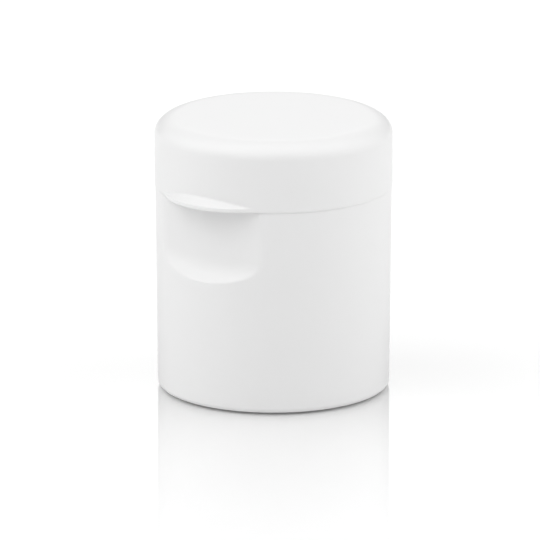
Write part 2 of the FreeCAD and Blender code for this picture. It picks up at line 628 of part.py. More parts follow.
# ---------------------------------------------------------------- lid
LID_WALL = 1.8
LID_INNER_R = LID_R - LID_WALL
LID_CEILING_Z = HEIGHT - LID_WALL
LID_EDGE_R = 4.6  # rounding of the lid's top edge
LIP_R = 14.9  # plan radius of the thumb lip
LIP_EDGE_T = 0.7
LIP_CREST_R = 0.4  # rounding between the lip's edge and its slope
LIP_SLOPE = math.radians(33.0)  # slope of the lip's upper side
LIP_RISE = 3.4  # height of the lip's sloped part, most of it inside the lid's wall
BEAD_R = CATCH_R + PLAY  # the lid's bead stops just short of the catch
BEAD_Z1 = CATCH_Z[0] - PLAY
NOTCH_HALF_W = KNUCKLE_HALF_W + RUN
NOTCH_Z1 = HINGE_Z + HINGE_R + 0.35
NOTCH_Y = (LID_INNER_R - 4.0, LID_R + 4.0)  # the notch spans the wall and the knuckles


def rounded_can(radius, z0, z1, edge_r):
    """Solid cylinder whose top edge is rounded."""
    arc_r = radius - edge_r
    arc_z = z1 - edge_r
    edges = polyline((0, z1), (0, z0), (radius, z0), (radius, arc_z))
    edges.append(corner_arc(arc_r, arc_z, edge_r, 0, 90))
    edges += polyline((arc_r, z1), (0, z1))
    return revolve(edges)


def thumb_lip():
    """Flared tongue in front of the lid, flat below and sloped above."""
    y = LIP_TIP_Y + LIP_R
    edge_z = LID_Z0 + LIP_EDGE_T
    lip = cylinder(LIP_R, LID_Z0, edge_z, y=y)
    slope = Part.makeCone(LIP_R, LIP_R - LIP_RISE / math.tan(LIP_SLOPE), LIP_RISE, point(0, y, edge_z))
    lip = lip.fuse(slope).removeSplitter()
    boxes = [(edge, edge.BoundBox) for edge in lip.Edges]
    crest = [edge for edge, box in boxes if box.ZLength < FIT and abs(box.ZMin - edge_z) < FIT]
    return lip.makeFillet(LIP_CREST_R, crest)


def lid_knuckle(side):
    """Outer hinge knuckle with the web that joins it to the lid's wall."""
    x0, x1 = sorted((side * NOTCH_HALF_W, side * HINGE_HALF_W))
    barrel = x_cylinder(HINGE_R, x0, x1, HINGE_Y, HINGE_Z)
    web = block(x0, x1, LID_INNER_R - BEYOND, HINGE_Y, LID_Z0 + PLAY, HINGE_Z + HINGE_R)
    return barrel.fuse(web)


def lid_shell():
    """Lid with a rounded top edge, a thumb lip in front and two hinge knuckles behind."""
    lid = rounded_can(LID_R, LID_Z0, HEIGHT, LID_EDGE_R)
    lid = lid.makeFillet(RIM_EDGE_R, rims(lid, LID_R, LID_Z0))
    lid = fuse_all(lid, (thumb_lip(), lid_knuckle(-1), lid_knuckle(1)))
    lid = lid.cut(rounded_can(LID_INNER_R, LID_Z0 - BEYOND, LID_CEILING_Z, LID_EDGE_R - LID_WALL))
    front = block(-CATCH_HALF_W, CATCH_HALF_W, -LID_R, 0, 0, HEIGHT)
    lid = lid.fuse(tube(LID_INNER_R + SINK, BEAD_R, LID_Z0, BEAD_Z1).common(front))
    notch = block(-NOTCH_HALF_W, NOTCH_HALF_W, *NOTCH_Y, LID_Z0 - BEYOND, NOTCH_Z1)
    reach = HINGE_HALF_W + BEYOND
    pin_hole = x_cylinder(PIN_R + PIN_PLAY, -reach, reach, HINGE_Y, HINGE_Z)
    return solid_of(cut_all(lid, (notch, pin_hole)))


GASKET_R = (12.2, 14.3)
GASKET_Z0 = CUP_TOP_Z + 0.08
GASKET_T = 1.6
LINER_TUBE_R = (11.6, 15.0)
LINER_TUBE_Z0 = GASKET_Z0 + 0.5  # the gasket stands this far out of its groove
LINER_PLATE_R = 19.0
LINER_PLATE_T = 1.2
LINER_RIBS = 8
LINER_RIB_T = 1.2
LINER_RIB_D = 2.2  # height of the ribs below the plate
LINER_RIB_END_R = LINER_PLATE_R - 0.5


def lid_liner():
    """Plate bonded under the lid's ceiling, with a tube whose end carries the gasket."""
    plate_z1 = LID_CEILING_Z - FIT
    plate_z0 = plate_z1 - LINER_PLATE_T
    inner, outer = LINER_TUBE_R
    liner = cylinder(LINER_PLATE_R, plate_z0, plate_z1)
    liner = liner.fuse(tube(outer, inner, LINER_TUBE_Z0, plate_z0 + SINK))
    half = LINER_RIB_T / 2
    rib = block((inner + outer) / 2, LINER_RIB_END_R, -half, half, plate_z0 - LINER_RIB_D, plate_z0 + SINK)
    liner = fuse_all(liner, around(rib, LINER_RIBS, 180.0 / LINER_RIBS))
    groove = tube(GASKET_R[1] + FIT, GASKET_R[0] - FIT, LINER_TUBE_Z0 - BEYOND, GASKET_Z0 + GASKET_T + FIT)
    return solid_of(liner.cut(groove))


def lid_gasket():
    """Soft ring that closes the pill store's mouth."""
    inner, outer = GASKET_R
    ring = tube(outer, inner, GASKET_Z0, GASKET_Z0 + GASKET_T)
    return solid_of(ring.makeFillet(EDGE_R, rims(ring, outer, GASKET_Z0) + rims(ring, inner, GASKET_Z0)))


# ---------------------------------------------------------------- output
PARTS = (
    body_shell,
    base_cover,
    foot_ring,
    base_screws,
    crush_barrel,
    deck_seal,
    anvil_plate,
    anvil_nut,
    pestle_foot,
    foot_bush,
    foot_screw,
    thrust_washer,
    plunger_screw,
    wiper_ring,
    hinge_collar,
    collar_screws,
    hinge_pin,
    store_cup,
    store_divider,
    lid_shell,
    lid_liner,
    lid_gasket,
)


def main():
    os.makedirs("parts", exist_ok=True)
    for make in PARTS:
        shape = make()
        assert shape.isValid(), make.__name__
        shape.exportStep(f"parts/{make.__name__}.step")
        box = shape.BoundBox
        print(f"{make.__name__}: {len(shape.Solids)} solids, {shape.Volume:.1f} mm3,", end=" ")
        print(f"z {box.ZMin:.2f} to {box.ZMax:.2f}")


main()
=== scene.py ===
"""Looks of the pill crusher: smooth moulded shells, materials, a white glossy table and a light tent.

Units are metres in the CAD frame: +Z up, thumb lip towards -Y, hinge towards +Y.
"""

import json
import math

import bmesh
import bpy
import numpy as np
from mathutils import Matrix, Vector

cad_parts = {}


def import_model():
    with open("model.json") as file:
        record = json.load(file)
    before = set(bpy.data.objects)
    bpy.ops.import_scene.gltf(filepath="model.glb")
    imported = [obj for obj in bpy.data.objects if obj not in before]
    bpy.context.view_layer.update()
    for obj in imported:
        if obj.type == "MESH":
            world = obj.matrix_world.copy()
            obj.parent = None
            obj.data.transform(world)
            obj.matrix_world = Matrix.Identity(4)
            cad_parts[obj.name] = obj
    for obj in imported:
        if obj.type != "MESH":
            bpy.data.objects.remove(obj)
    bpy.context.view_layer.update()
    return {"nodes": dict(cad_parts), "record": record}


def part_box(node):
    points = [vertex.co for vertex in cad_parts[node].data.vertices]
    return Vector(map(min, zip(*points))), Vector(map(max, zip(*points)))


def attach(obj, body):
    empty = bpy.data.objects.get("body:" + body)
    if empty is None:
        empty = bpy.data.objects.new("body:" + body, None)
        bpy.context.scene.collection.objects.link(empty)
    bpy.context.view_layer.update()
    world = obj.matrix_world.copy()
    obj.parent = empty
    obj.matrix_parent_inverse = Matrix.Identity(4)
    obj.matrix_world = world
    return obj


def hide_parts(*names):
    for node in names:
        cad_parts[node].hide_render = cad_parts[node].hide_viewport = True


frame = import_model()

MM = 0.001
PLASTIC_IOR = 1.36  # below the bulk's 1.49: a satin moulded skin shines less at a grazing angle
WHITE = (0.8, 0.8, 0.8)

# ---------------------------------------------------------------- sizes taken from the frame
lid_low, lid_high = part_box("lid_shell")
body_low, body_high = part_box("body_shell")
pin_low, pin_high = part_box("hinge_pin")

LID_R = lid_high.x
TOP_Z = lid_high.z
LID_Z = lid_low.z
LIP_TIP_R = -lid_low.y
BODY_TOP_R = body_high.x
BODY_Z = body_low.z
SEAM_Z = body_high.z

SLOT_OF = {part["node"]: part["material_slot"] for part in frame["record"]["subparts"]}


# ---------------------------------------------------------------- mesh helpers
SHARP_ANGLE = math.radians(30.0)  # faces that meet at more than this keep a sharp edge


def new_object(name, vertices, faces):
    """Mesh object with smooth shading and sharp edges where its faces meet steeply."""
    mesh = bpy.data.meshes.new(name)
    mesh.from_pydata([tuple(v) for v in vertices], [], faces)
    mesh.validate()
    made = bpy.data.objects.new(name, mesh)
    bpy.context.scene.collection.objects.link(made)
    shade(made)
    return made


def shade(made):
    """Smooth shading between the sharp edges."""
    mesh = made.data
    mesh.polygons.foreach_set("use_smooth", [True] * len(mesh.polygons))
    mesh.set_sharp_from_angle(angle=SHARP_ANGLE)
    mesh.update()


def from_bmesh(name, shape):
    """Object of a bmesh, which is freed."""
    bmesh.ops.recalc_face_normals(shape, faces=shape.faces)
    mesh = bpy.data.meshes.new(name)
    shape.to_mesh(mesh)
    shape.free()
    made = bpy.data.objects.new(name, mesh)
    bpy.context.scene.collection.objects.link(made)
    return made


def ring_grid(name, angles, sections):
    """Closed ring about the Z axis: one closed section of (radius, z) points for each angle."""
    count, points = sections.shape[0], sections.shape[1]
    cos, sin = np.cos(angles)[:, None], np.sin(angles)[:, None]
    radius, height = sections[:, :, 0], sections[:, :, 1]
    vertices = np.stack([radius * cos, radius * sin, height], axis=2).reshape(-1, 3)
    faces = []
    for i in range(count):
        j = (i + 1) % count
        for k in range(points):
            m = (k + 1) % points
            faces.append((i * points + k, j * points + k, j * points + m, i * points + m))
    return new_object(name, vertices, faces)


def capped_grid(name, angles, sections):
    """Closed body about the Z axis: open sections that start and end on the axis, one for each angle."""
    count, points = sections.shape[0], sections.shape[1]
    inner = sections[:, 1:-1]
    cos, sin = np.cos(angles)[:, None], np.sin(angles)[:, None]
    radius, height = inner[:, :, 0], inner[:, :, 1]
    vertices = np.stack([radius * cos, radius * sin, height], axis=2).reshape(-1, 3)
    first, last = len(vertices), len(vertices) + 1
    poles = [(0, 0, sections[0, 0, 1]), (0, 0, sections[0, -1, 1])]
    vertices = np.concatenate([vertices, poles])
    rows = points - 2
    faces = []
    for i in range(count):
        j = (i + 1) % count
        faces.append((first, j * rows, i * rows))
        for k in range(rows - 1):
            faces.append((i * rows + k, j * rows + k, j * rows + k + 1, i * rows + k + 1))
        faces.append((last, i * rows + rows - 1, j * rows + rows - 1))
    return new_object(name, vertices, faces)


def corner(centre_r, centre_z, radius, start, end, steps):
    """Points of an arc in the radius-z plane, angles in degrees from the outward radius."""
    a = np.radians(np.linspace(start, end, steps + 1))
    return np.stack([centre_r + radius * np.cos(a), centre_z + radius * np.sin(a)], axis=1)


def smooth_min(a, b, width):
    """Smaller of a and b, with the corner between them rounded over width."""
    h = np.maximum(width - np.abs(a - b), 0) / width
    return np.minimum(a, b) - h * h * width / 4


def smooth_max(a, b, width):
    """Larger of a and b, with the corner between them rounded over width."""
    return -smooth_min(-a, -b, width)


def edge_inset(z, edge_z, radius):
    """How far a rounded edge at height edge_z draws the surface in, at heights within radius of it."""
    inside = np.clip((radius - np.abs(edge_z - z)) / radius, 0, 1)
    return radius * (1 - np.sqrt(1 - inside * inside))


def spaced(*spans):
    """Heights through several spans (end, step), the first entry being the start."""
    values = [spans[0]]
    for end, step in spans[1:]:
        count = max(1, round(abs(end - values[-1]) / step))
        values += list(np.linspace(values[-1], end, count + 1)[1:])
    return np.array(values)


def front_dense_angles(half_front, fine, coarse):
    """Angles round the Z axis, finely spaced within half_front degrees of the lip's direction."""
    front = np.arange(-half_front, half_front, fine)
    steps = round((360 - 2 * half_front) / coarse)
    rest = np.linspace(half_front, 360 - half_front, steps, endpoint=False)
    return np.radians(np.concatenate([front, rest]) - 90.0)


# ---------------------------------------------------------------- body skin
RIM_EASE = (0.07 * MM, 0.5 * MM)  # depth and height of the shallow easing at the seam
RIM_STEP = 0.05 * MM

BODY_DRAFT = 0.4 * MM
BODY_FOOT_R = BODY_TOP_R - BODY_DRAFT
BODY_EDGE_R = 1.1 * MM
WALL = 1.9 * MM
DECK_T = 3.0 * MM
DECK_BORE_R = 17.2 * MM
BARREL_SEAT_R = 18.85 * MM
BARREL_SEAT_DEPTH = 1.03 * MM
SNAP_GROOVE_DEPTH = 0.35 * MM
SNAP_GROOVE_Z = (1.1 * MM, 2.1 * MM)

SCOOP_FLOOR = BODY_TOP_R - 2.8 * MM  # distance of the scoop's floor from the body's axis
SCOOP_PLAN_R = 99.0 * MM  # the floor bulges slightly
SCOOP_BOTTOM_Z = 26.5 * MM
SCOOP_RAMP = math.radians(42.0)
SCOOP_BLEND_R = 5.0 * MM
SCOOP_SIDE_ROUND = 0.45 * MM
SCOOP_BOTTOM_ROUND = 0.12 * MM
SCOOP_ROUND_RISE = 6.0 * MM  # height over which the bottom's rounding grows into the sides'
SCOOP_FACES = 0.5  # cosine of the angle from the lip's direction within which the scoop is cut
NO_SCOOP_R = 1.0

BODY_GRID = (36.0, 0.6, 2.0)  # degrees: half of the finely spaced front, its step, the step elsewhere
FINE_Z = (24.0 * MM, 36.0 * MM)  # heights between which the scoop's ramp needs close rings
BODY_STEPS = {"edge": 0.1 * MM, "plain": 1.5 * MM, "ramp": 0.25 * MM, "upper": 0.6 * MM, "foot": 2.0 * MM}


def rim_inset(z, edge_z):
    """How far the rims of lid and shell are drawn in towards the seam, which softens its line."""
    across, along = RIM_EASE
    inside = np.clip((along - np.abs(edge_z - z)) / along, 0, 1)
    return across * inside * inside


def body_radius(z):
    """Outer radius of the drafted shell."""
    return BODY_FOOT_R + (BODY_TOP_R - BODY_FOOT_R) * z / SEAM_Z


def scoop_radius(angle, z, grow=0.0):
    """Distance of the scoop's surface from the body's axis, or of the wall behind it with grow."""
    floor = SCOOP_FLOOR - grow
    blend = SCOOP_BLEND_R + grow
    ramp_r = floor + blend * (1 - math.cos(SCOOP_RAMP))
    exit_r = body_radius(SCOOP_BOTTOM_Z)
    ramp_z = SCOOP_BOTTOM_Z + (exit_r - ramp_r) / math.tan(SCOOP_RAMP) - grow / math.sin(SCOOP_RAMP)
    blend_z = ramp_z + blend * math.sin(SCOOP_RAMP)
    drop = np.clip((blend_z - z) / blend, 0, math.sin(SCOOP_RAMP))
    on_blend = blend * (1 - np.sqrt(1 - drop * drop))
    on_ramp = np.maximum(ramp_z - z, 0) * math.tan(SCOOP_RAMP)
    plan_centre = SCOOP_PLAN_R - SCOOP_FLOOR  # behind the axis
    plan_r = plan_centre + floor + on_blend + on_ramp
    away = angle + math.pi / 2
    under = np.maximum(plan_r**2 - (plan_centre * np.sin(away)) ** 2, 0)
    radius = -plan_centre * np.cos(away) + np.sqrt(under)
    return np.where(np.cos(away) > SCOOP_FACES, radius, NO_SCOOP_R)


def body_section(angle):
    """Closed section of the shell at one angle, up the outside and down the inside."""
    steps = BODY_STEPS
    z = spaced(
        BODY_Z, (BODY_Z + BODY_EDGE_R, steps["edge"]),
        (FINE_Z[0], steps["plain"]), (FINE_Z[1], steps["ramp"]),
        (SEAM_Z - RIM_EASE[1], steps["upper"]), (SEAM_Z, RIM_STEP),
    )
    share = np.clip((z - SCOOP_BOTTOM_Z) / SCOOP_ROUND_RISE, 0, 1)
    soften = SCOOP_BOTTOM_ROUND + (SCOOP_SIDE_ROUND - SCOOP_BOTTOM_ROUND) * share
    outer = smooth_min(body_radius(z), scoop_radius(angle, z), soften)
    outer = outer - edge_inset(z, BODY_Z, BODY_EDGE_R) - rim_inset(z, SEAM_Z)
    deck_z, seat_z = SEAM_Z - DECK_T, SEAM_Z - BARREL_SEAT_DEPTH
    deck = np.array([
        (DECK_BORE_R, SEAM_Z), (DECK_BORE_R, seat_z), (BARREL_SEAT_R, seat_z), (BARREL_SEAT_R, deck_z),
    ])
    groove_low, groove_high = SNAP_GROOVE_Z
    inner_z = spaced(deck_z, (FINE_Z[0], steps["upper"]), (groove_high, steps["foot"]))
    inner = np.minimum(body_radius(inner_z) - WALL, scoop_radius(angle, inner_z, WALL))
    foot_r = BODY_FOOT_R - WALL
    groove_r = foot_r + SNAP_GROOVE_DEPTH
    groove = np.array([
        (groove_r, groove_high), (groove_r, groove_low), (foot_r, groove_low), (foot_r, BODY_Z),
    ])
    return np.concatenate([np.stack([outer, z], axis=1), deck, np.stack([inner, inner_z], axis=1), groove])


def body_skin():
    """Outer shell with the thumb scoop, open at its foot, with the deck that the barrel hangs from."""
    angles = front_dense_angles(*BODY_GRID)
    made = ring_grid("body_skin", angles, np.array([body_section(a) for a in angles]))
    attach(made, "base")
    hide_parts("body_shell")
    return made


# ---------------------------------------------------------------- lid skin
LID_WALL = 1.8 * MM
LID_EDGE = (4.4 * MM, 3.4 * MM)  # across and down of the rounded top edge
LIP_PLAN_R = 14.9 * MM
LIP_EDGE_T = 0.7 * MM
LIP_SLOPE = math.radians(33.0)
LIP_BLEND = 0.3 * MM
LIP_EDGE_ROUND = 0.25 * MM
LID_FOOT_Z = LID_Z - 0.09 * MM  # the seam reads as a fine line
LID_INNER_EDGE_R = 2.8 * MM
LIP_TOP_Z = 46.0 * MM  # above the lip the lid's side is plain
LID_GRID = (38.0, 0.6, 2.0)  # as BODY_GRID
LID_STEPS = {"plain": 0.8 * MM, "lip": 0.1 * MM, "inner": 1.5 * MM}
TOP_RINGS, ROUNDING_RINGS, INNER_ROUNDING_STEPS, CEILING_RINGS = 8, 25, 10, 6

HINGE_Y = (pin_low.y + pin_high.y) / 2
HINGE_Z = (pin_low.z + pin_high.z) / 2
KNUCKLE_CLEARANCE = 0.1 * MM  # below the knuckles, and beyond the pin's ends
HINGE_HALF_W = pin_high.x + KNUCKLE_CLEARANCE
KNUCKLE_R = HINGE_Z - LID_Z - KNUCKLE_CLEARANCE
KNUCKLE_BEVEL, BEVEL_SEGMENTS = 0.15 * MM, 3
KNUCKLE_STEPS, PIN_HOLE_STEPS, BEAD_STEPS = 24, 32, 24
NOTCH_HALF_W = 4.3 * MM
NOTCH_TOP_Z = HINGE_Z + KNUCKLE_R + 0.35 * MM
NOTCH_REACH = 2.0 * MM  # how far the notch cuts inside the wall
PIN_HOLE_R = (pin_high.z - pin_low.z) / 2 + 0.05 * MM
BEAD = (5.0 * MM, 21.95 * MM, 0.5 * MM)  # half width, inner radius and height of the catch bead
PAST = 1.0 * MM  # how far a cutter reaches past what it cuts


def lip_radius(angle, z):
    """Distance of the lip's outline from the lid's axis at each height."""
    away = angle + math.pi / 2
    centre = LIP_TIP_R - LIP_PLAN_R
    plan_r = LIP_PLAN_R - np.maximum(z - LID_Z - LIP_EDGE_T, 0) / math.tan(LIP_SLOPE)
    under = plan_r**2 - (centre * np.sin(away)) ** 2
    radius = centre * np.cos(away) + np.sqrt(np.maximum(under, 0))
    return np.where((np.cos(away) > 0) & (under > 0) & (plan_r > 0), radius, 0.0)


def lid_section(angle):
    """Section at one angle, from the top's centre down the outside and up to the ceiling's centre."""
    across, down = LID_EDGE
    a = np.radians(np.linspace(90, 0, ROUNDING_RINGS))
    rounding = np.stack([LID_R - across + across * np.cos(a), TOP_Z - down + down * np.sin(a)], axis=1)
    top_r = np.linspace(0, LID_R - across, TOP_RINGS + 1)[:-1]
    top = np.stack([top_r, np.full(TOP_RINGS, TOP_Z)], axis=1)
    steps = LID_STEPS
    z = spaced(
        TOP_Z - down, (LIP_TOP_Z, steps["plain"]),
        (LID_FOOT_Z + RIM_EASE[1], steps["lip"]), (LID_FOOT_Z, RIM_STEP),
    )[1:]
    plain = LID_R - rim_inset(z, LID_FOOT_Z)
    lip = lip_radius(angle, z) - edge_inset(z, LID_FOOT_Z, LIP_EDGE_ROUND)
    outer = smooth_max(plain, lip, LIP_BLEND)
    inner_r, ceiling, edge = LID_R - LID_WALL, TOP_Z - LID_WALL, LID_INNER_EDGE_R
    inner_z = spaced(LID_FOOT_Z, (ceiling - edge, steps["inner"]))[:-1]
    inner = np.stack([np.full(len(inner_z), inner_r), inner_z], axis=1)
    inner_round = corner(inner_r - edge, ceiling - edge, edge, 0, 90, INNER_ROUNDING_STEPS)
    under_r = np.linspace(inner_r - edge, 0, CEILING_RINGS + 1)[1:]
    under = np.stack([under_r, np.full(CEILING_RINGS, ceiling)], axis=1)
    return np.concatenate([top, rounding, np.stack([outer, z], axis=1), inner, inner_round, under])


def x_prism(name, outline, x0, x1, bevel=0.0):
    """Closed prism along X of a (y, z) outline, its end edges rounded by bevel."""
    shape = bmesh.new()
    ends = [[shape.verts.new((x, y, z)) for y, z in outline] for x in (x0, x1)]
    faces = [shape.faces.new(ends[0]), shape.faces.new(ends[1])]
    count = len(outline)
    for i in range(count):
        j = (i + 1) % count
        shape.faces.new((ends[0][i], ends[0][j], ends[1][j], ends[1][i]))
    if bevel:
        rims = {edge for face in faces for edge in face.edges}
        rounding = {"offset": bevel, "segments": BEVEL_SEGMENTS, "profile": 0.5, "affect": "EDGES"}
        bmesh.ops.bevel(shape, geom=list(rims), **rounding)
    return from_bmesh(name, shape)


def arc_outline(radius, start, end, steps):
    """(y, z) points of an arc about the hinge's axis, angles in degrees from +Y."""
    a = np.radians(np.linspace(start, end, steps + 1))
    return [(HINGE_Y + radius * math.cos(t), HINGE_Z + radius * math.sin(t)) for t in a]


def sector(name, radii, z0, z1, half_w):
    """Ring segment across the front, half_w to each side of the lip's direction."""
    inner, outer = radii
    half = math.asin(half_w / inner)
    shape = bmesh.new()
    rows = []
    for t in np.linspace(-half, half, BEAD_STEPS + 1) - math.pi / 2:
        corners = ((inner, z0), (outer, z0), (outer, z1), (inner, z1))
        rows.append([shape.verts.new((r * math.cos(t), r * math.sin(t), z)) for r, z in corners])
    for a, b in zip(rows, rows[1:]):
        for k in range(4):
            m = (k + 1) % 4
            shape.faces.new((a[k], b[k], b[m], a[m]))
    shape.faces.new(rows[0])
    shape.faces.new(rows[-1])
    return from_bmesh(name, shape)


def combine(target, tools, operation):
    """Applies exact booleans of the tools to the target and removes the tools."""
    for tool in tools:
        step = target.modifiers.new("combine", "BOOLEAN")
        step.operation = operation
        step.solver = "EXACT"
        step.object = tool
        bpy.context.view_layer.update()
        shaped = target.evaluated_get(bpy.context.evaluated_depsgraph_get())
        mesh = bpy.data.meshes.new_from_object(shaped)
        target.modifiers.clear()
        target.data = mesh
        bpy.data.objects.remove(tool)


def lid_skin():
    """Lid with its thumb lip, the hinge's outer knuckles, the notch between them and the catch bead."""
    angles = front_dense_angles(*LID_GRID)
    made = capped_grid("lid_skin", angles, np.array([lid_section(a) for a in angles]))
    in_wall = LID_R - LID_WALL / 2
    low, high = (in_wall, HINGE_Z - KNUCKLE_R), (in_wall, HINGE_Z + KNUCKLE_R)
    knuckle = [low, *arc_outline(KNUCKLE_R, -90, 90, KNUCKLE_STEPS), high]
    spans = ((-HINGE_HALF_W, -NOTCH_HALF_W), (NOTCH_HALF_W, HINGE_HALF_W))
    combine(made, [x_prism("knuckle", knuckle, *span, bevel=KNUCKLE_BEVEL) for span in spans], "UNION")
    half_w, bead_r, bead_h = BEAD
    combine(made, [sector("bead", (bead_r, in_wall), LID_Z, LID_Z + bead_h, half_w)], "UNION")
    y0, y1 = LID_R - LID_WALL - NOTCH_REACH, HINGE_Y + KNUCKLE_R + PAST
    notch = [(y0, LID_Z - PAST), (y1, LID_Z - PAST), (y1, NOTCH_TOP_Z), (y0, NOTCH_TOP_Z)]
    hole = arc_outline(PIN_HOLE_R, 0, 360, PIN_HOLE_STEPS)[:-1]
    reach = HINGE_HALF_W + PAST
    cutters = [
        x_prism("notch", notch, -NOTCH_HALF_W, NOTCH_HALF_W),
        x_prism("pin_hole", hole, -reach, reach),
    ]
    combine(made, cutters, "DIFFERENCE")
    shade(made)
    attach(made, "lid")
    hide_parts("lid_shell")
    return made


# ---------------------------------------------------------------- materials
class Tree:
    """Short names for building one material's nodes. Every pattern uses Object coordinates, in metres."""

    def __init__(self, name):
        self.material = bpy.data.materials.new(name)
        self.material.use_nodes = True
        self.nodes = self.material.node_tree.nodes
        self.links = self.material.node_tree.links
        self.shader = self.nodes["Principled BSDF"]
        self.coords = self.nodes.new("ShaderNodeTexCoord").outputs["Object"]

    def put(self, socket, value):
        """Links a node's output to the socket, or sets the socket to a plain value."""
        if isinstance(value, bpy.types.NodeSocket):
            self.links.new(value, socket)
        else:
            socket.default_value = value

    def set(self, **values):
        """Sets inputs of the Principled shader, with _ for each space in their names."""
        for name, value in values.items():
            self.put(self.shader.inputs[name.replace("_", " ")], value)

    def noise(self, scale, detail=2.0, roughness=0.5, coords=None):
        """Noise between 0 and 1 with about scale features in each metre."""
        node = self.nodes.new("ShaderNodeTexNoise")
        node.inputs["Scale"].default_value = scale
        node.inputs["Detail"].default_value = detail
        node.inputs["Roughness"].default_value = roughness
        self.put(node.inputs["Vector"], coords or self.coords)
        return node.outputs["Fac"]

    def cells(self, scale):
        """Distance from the middle of the nearest of scattered cells, about scale of them in each metre."""
        node = self.nodes.new("ShaderNodeTexVoronoi")
        node.inputs["Scale"].default_value = scale
        self.put(node.inputs["Vector"], self.coords)
        return node.outputs["Distance"]

    def math(self, operation, a, b=0.0):
        node = self.nodes.new("ShaderNodeMath")
        node.operation = operation
        self.put(node.inputs[0], a)
        self.put(node.inputs[1], b)
        return node.outputs[0]

    def spread(self, value, low, high, source=(0.0, 1.0)):
        """Value mapped from the source range to low..high, clamped."""
        node = self.nodes.new("ShaderNodeMapRange")
        node.clamp = True
        self.put(node.inputs["Value"], value)
        node.inputs["From Min"].default_value, node.inputs["From Max"].default_value = source
        node.inputs["To Min"].default_value, node.inputs["To Max"].default_value = low, high
        return node.outputs["Result"]

    def blend(self, share, first, second):
        """Colour that goes from first to second as share goes from 0 to 1."""
        node = self.nodes.new("ShaderNodeMix")
        node.data_type = "RGBA"
        self.put(node.inputs["Factor"], share)
        colors = [socket for socket in node.inputs if socket.type == "RGBA"]
        for socket, color in zip(colors, (first, second)):
            self.put(socket, (*color, 1.0) if isinstance(color, tuple) else color)
        return [socket for socket in node.outputs if socket.type == "RGBA"][0]

    def bump(self, height, depth, under=None):
        """Normal of a relief whose height runs from 0 to 1 over depth metres."""
        node = self.nodes.new("ShaderNodeBump")
        node.inputs["Strength"].default_value = 1.0
        node.inputs["Distance"].default_value = depth
        self.put(node.inputs["Height"], height)
        if under:
            self.put(node.inputs["Normal"], under)
        return node.outputs["Normal"]

    def around_z(self):
        """Distance from the Z axis."""
        split = self.nodes.new("ShaderNodeSeparateXYZ")
        self.put(split.inputs[0], self.coords)
        x2 = self.math("MULTIPLY", split.outputs[0], split.outputs[0])
        y2 = self.math("MULTIPLY", split.outputs[1], split.outputs[1])
        return self.math("SQRT", self.math("ADD", x2, y2))


MIDDLE = (0.3, 0.7)  # the range that most of a noise pattern stays within
CLOUD_SCALE, GLOSS_SCALE, WAVE_SCALE = 70.0, 350.0, 240.0
MOTTLE_SCALE, DUST_SCALE, SKIN_SCALE, SKIN_DEPTH = 220.0, 500.0, 1500.0, 0.02 * MM
PIT_SCALE, PIT_DEPTH, PIT_RANGE = 6500.0, 0.012 * MM, (0.0, 0.6)
TURNING_PITCH, TURNING_DEPTH, TURNING_WANDER_SCALE = 0.16 * MM, 0.003 * MM, 900.0
TINT_SCALE, SMUDGE_SCALE = 160.0, 420.0
SCRATCH_SCALE, SCRATCH_DEPTH, FASTENER_TINT_SCALE = 2200.0, 0.004 * MM, 800.0
SCRATCH_TURN, SCRATCH_STRETCH = (0.3, 0.2, 0.7), (1.0, 14.0, 3.0)


def shaded(color, share):
    """The colour at a share of its brightness."""
    return tuple(c * share for c in color)


def plastic(name, color, roughness, grain_depth, grain_scale, waviness=0.0, shine=0.5):
    """Moulded plastic: faint clouding, uneven gloss, tool grain and a slow surface wave."""
    tree = Tree(name)
    tree.set(Base_Color=tree.blend(tree.noise(CLOUD_SCALE, 4.0), shaded(color, 0.99), color))
    gloss = tree.noise(GLOSS_SCALE, 4.0, 0.6)
    tree.set(Roughness=tree.spread(gloss, roughness * 0.9, roughness * 1.1))
    normal = tree.bump(tree.noise(grain_scale, 3.0, 0.6), grain_depth)
    if waviness:
        normal = tree.bump(tree.noise(WAVE_SCALE, 1.0), waviness, normal)
    tree.set(Normal=normal, IOR=PLASTIC_IOR, Specular_IOR_Level=shine)
    return tree.material


def rubber(name, color):
    """Moulded rubber: dull, finely pitted, with dusty patches."""
    tree = Tree(name)
    tree.set(Base_Color=tree.blend(tree.noise(MOTTLE_SCALE, 5.0, 0.65), shaded(color, 0.86), color))
    tree.set(Roughness=tree.spread(tree.noise(DUST_SCALE, 3.0), 0.62, 0.85, MIDDLE))
    pits = tree.spread(tree.cells(PIT_SCALE), 0.0, 1.0, PIT_RANGE)
    tree.set(Normal=tree.bump(pits, PIT_DEPTH, tree.bump(tree.noise(SKIN_SCALE, 3.0), SKIN_DEPTH)))
    tree.set(IOR=1.5, Specular_IOR_Level=0.35)
    return tree.material


def turned_steel(name, color):
    """Stainless steel turned on a lathe: fine rings about the Z axis, with smudges in the shine."""
    tree = Tree(name)
    rings = tree.math("SINE", tree.math("MULTIPLY", tree.around_z(), 2 * math.pi / TURNING_PITCH))
    wander = tree.noise(TURNING_WANDER_SCALE, 3.0)
    marks = tree.math("ADD", tree.math("MULTIPLY", rings, 0.5), wander)
    tree.set(Base_Color=tree.blend(tree.noise(TINT_SCALE, 4.0), shaded(color, 0.88), color))
    tree.set(Metallic=1.0, Roughness=tree.spread(tree.noise(SMUDGE_SCALE, 5.0, 0.7), 0.2, 0.38, MIDDLE))
    tree.set(Normal=tree.bump(marks, TURNING_DEPTH))
    return tree.material


